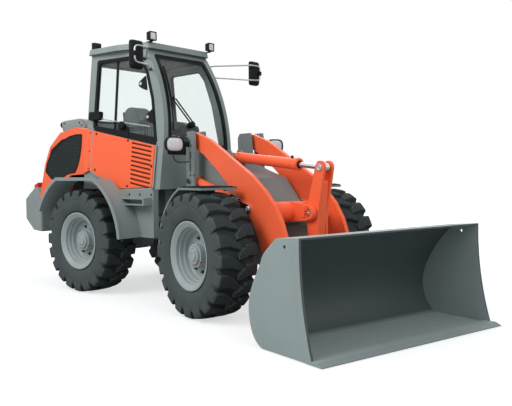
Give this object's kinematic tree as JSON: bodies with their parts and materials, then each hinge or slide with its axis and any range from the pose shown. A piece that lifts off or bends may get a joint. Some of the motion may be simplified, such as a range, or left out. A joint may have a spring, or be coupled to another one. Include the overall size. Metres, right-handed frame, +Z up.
{
  "type": "articulated wheel loader",
  "caption": "Compact articulated wheel loader with a glazed cab, centre-pivot steering, lift arms with a lever linkage and a wide bucket resting on the ground.",
  "frame": {"origin": "on the ground, below the middle of the footprint of the whole machine as it stands, turned a little to its right at the centre pivot", "axes": "+X along the rear body towards the front, +Y to the machine's left, +Z up"},
  "size_m": [5.5066, 2.5324, 2.6749],
  "materials": {
    "black_plastic": "matte",
    "body_orange": "gloss",
    "bucket_grey": "satin",
    "clear_glass": "polished",
    "dark_grille": "matte",
    "engine_iron": "matte",
    "frame_grey": "satin",
    "lamp_lens": "gloss",
    "rim_grey": "satin",
    "rod_chrome": "polished",
    "seat_grey": "matte",
    "tyre_black": "matte"
  },
  "bodies": {
    "rear_body": {"rear_frame": "frame_grey", "rear_axle": "frame_grey", "counterweight": "frame_grey", "engine_block": "engine_iron", "cab_frame": "frame_grey", "cab_roof": "frame_grey", "windshield": "clear_glass", "rear_window": "clear_glass", "side_window": "clear_glass", "side_panel": "body_orange", "rear_fender_right": "frame_grey", "rear_fender_left": "frame_grey", "step_right": "frame_grey", "step_left": "frame_grey", "seat_base": "frame_grey", "seat": "seat_grey", "steering_column": "black_plastic", "control_console": "black_plastic", "mirrors": "black_plastic", "work_lights": "black_plastic", "tail_lights": "lamp_lens"},
    "hood": {"engine_hood": "body_orange", "hood_grilles": "dark_grille", "exhaust_cover": "frame_grey"},
    "door": {"door_left": "frame_grey", "door_glass": "clear_glass"},
    "front_body": {"front_frame": "frame_grey", "front_axle": "frame_grey", "front_fender_right": "frame_grey", "front_fender_left": "frame_grey", "headlights": "lamp_lens"},
    "boom": {"boom": "body_orange"},
    "lever": {"tilt_lever": "body_orange"},
    "link": {"tilt_link": "body_orange"},
    "tool": {"quick_coupler": "frame_grey", "bucket": "bucket_grey"},
    "tilt_barrel": {"tilt_barrel": "body_orange"},
    "tilt_rod": {"tilt_rod": "rod_chrome"},
    "steering_barrel": {"steering_barrel": "frame_grey"},
    "steering_rod": {"steering_rod": "rod_chrome"},
    "lift_barrel_right": {"lift_barrel_right": "body_orange"},
    "lift_rod_right": {"lift_rod_right": "rod_chrome"},
    "lift_barrel_left": {"lift_barrel_left": "body_orange"},
    "lift_rod_left": {"lift_rod_left": "rod_chrome"},
    "wheel_rear_right": {"tyre_rear_right": "tyre_black", "rim_rear_right": "rim_grey"},
    "wheel_rear_left": {"tyre_rear_left": "tyre_black", "rim_rear_left": "rim_grey"},
    "wheel_front_right": {"tyre_front_right": "tyre_black", "rim_front_right": "rim_grey"},
    "wheel_front_left": {"tyre_front_left": "tyre_black", "rim_front_left": "rim_grey"}
  },
  "joints": [
    {"name": "steering", "type": "hinge", "parent": "rear_body", "child": "front_body", "pos_m": [-0.23626, 0.3312, 0.655], "axis": [0, 0, 1], "range_deg": [-26.5, 53.5]},
    {"name": "wheel_rear_right_roll", "type": "hinge", "parent": "rear_body", "child": "wheel_rear_right", "pos_m": [-1.28626, -0.3538, 0.54], "axis": [0, 1, 0], "continuous": true},
    {"name": "wheel_rear_left_roll", "type": "hinge", "parent": "rear_body", "child": "wheel_rear_left", "pos_m": [-1.28626, 1.0162, 0.54], "axis": [0, 1, 0], "continuous": true},
    {"name": "wheel_front_right_roll", "type": "hinge", "parent": "front_body", "child": "wheel_front_right", "pos_m": [0.62482, -0.57999, 0.54], "axis": [0.2334, 0.9724, 0], "continuous": true},
    {"name": "wheel_front_left_roll", "type": "hinge", "parent": "front_body", "child": "wheel_front_left", "pos_m": [0.94464, 0.75215, 0.54], "axis": [0.2334, 0.9724, 0], "continuous": true},
    {"name": "boom_lift", "type": "hinge", "parent": "front_body", "child": "boom", "pos_m": [0.11865, 0.24599, 1.56], "axis": [-0.2334, -0.9724, 0], "range_deg": [-3, 83]},
    {"name": "bucket_tilt", "type": "hinge", "parent": "boom", "child": "tool", "pos_m": [1.56262, -0.10068, 0.25], "axis": [-0.2334, -0.9724, 0], "range_deg": [-120, 40]},
    {"name": "lever_turn", "type": "hinge", "parent": "boom", "child": "lever", "pos_m": [1.44594, -0.07266, 0.905], "axis": [-0.2334, -0.9724, 0], "range_deg": [-10.8, 32.4]},
    {"name": "link_turn", "type": "hinge", "parent": "tool", "child": "link", "pos_m": [1.67153, -0.12682, 0.42], "axis": [-0.2334, -0.9724, 0], "range_deg": [-18, 54]},
    {"name": "lift_barrel_right_turn", "type": "hinge", "parent": "front_body", "child": "lift_barrel_right", "pos_m": [0.04414, -0.08578, 1.165], "axis": [-0.2334, -0.9724, 0], "range_deg": [-2.66, 73.63]},
    {"name": "lift_rod_right_slide", "type": "slide", "parent": "lift_barrel_right", "child": "lift_rod_right", "axis": [0.9394, -0.2255, -0.258], "range_m": [-0.01771, 0.48992]},
    {"name": "lift_barrel_left_turn", "type": "hinge", "parent": "front_body", "child": "lift_barrel_left", "pos_m": [0.20288, 0.57543, 1.165], "axis": [-0.2334, -0.9724, 0], "range_deg": [-2.66, 73.63]},
    {"name": "lift_rod_left_slide", "type": "slide", "parent": "lift_barrel_left", "child": "lift_rod_left", "axis": [0.9394, -0.2255, -0.258], "range_m": [-0.01771, 0.48992]},
    {"name": "tilt_barrel_turn", "type": "hinge", "parent": "front_body", "child": "tilt_barrel", "pos_m": [0.30048, 0.20233, 1.393], "axis": [-0.2334, -0.9724, 0], "range_deg": [-3.09, 85.43]},
    {"name": "tilt_rod_slide", "type": "slide", "parent": "tilt_barrel", "child": "tilt_rod", "axis": [0.9686, -0.2325, -0.0884], "range_m": [-0.01181, 0.32667]},
    {"name": "steering_barrel_turn", "type": "hinge", "parent": "rear_body", "child": "steering_barrel", "pos_m": [-0.98626, -0.0138, 0.655], "axis": [0, 0, 1], "range_deg": [-7.43, 15]},
    {"name": "steering_rod_slide", "type": "slide", "parent": "steering_barrel", "child": "steering_rod", "axis": [0.9959, -0.0899, 0], "range_m": [-0.1625, 0.32807]},
    {"name": "hood_lift", "type": "hinge", "parent": "rear_body", "child": "hood", "pos_m": [-1.46826, 0.3312, 1.742], "axis": [0, 1, 0], "range_deg": [0, 60]},
    {"name": "door_swing", "type": "hinge", "parent": "rear_body", "child": "door", "pos_m": [-1.38841, 0.95714, 1.50195], "axis": [-0.0087, -0.088, 0.9961], "range_deg": [0, 95]}
  ],
  "couplings": [
    {"joint": "lever_turn", "follows": "bucket_tilt", "ratio": -0.27},
    {"joint": "link_turn", "follows": "bucket_tilt", "ratio": -0.45},
    {"joint": "lift_barrel_right_turn", "follows": "boom_lift", "ratio": 0.88712},
    {"joint": "lift_rod_right_slide", "follows": "boom_lift", "m_per_rad": 0.3382},
    {"joint": "lift_barrel_left_turn", "follows": "boom_lift", "ratio": 0.88712},
    {"joint": "lift_rod_left_slide", "follows": "boom_lift", "m_per_rad": 0.3382},
    {"joint": "tilt_barrel_turn", "follows": "boom_lift", "ratio": 1.0293},
    {"joint": "tilt_rod_slide", "follows": "boom_lift", "m_per_rad": 0.2255},
    {"joint": "steering_barrel_turn", "follows": "steering", "ratio": 0.28032},
    {"joint": "steering_rod_slide", "follows": "steering", "m_per_rad": 0.35135}
  ]
}
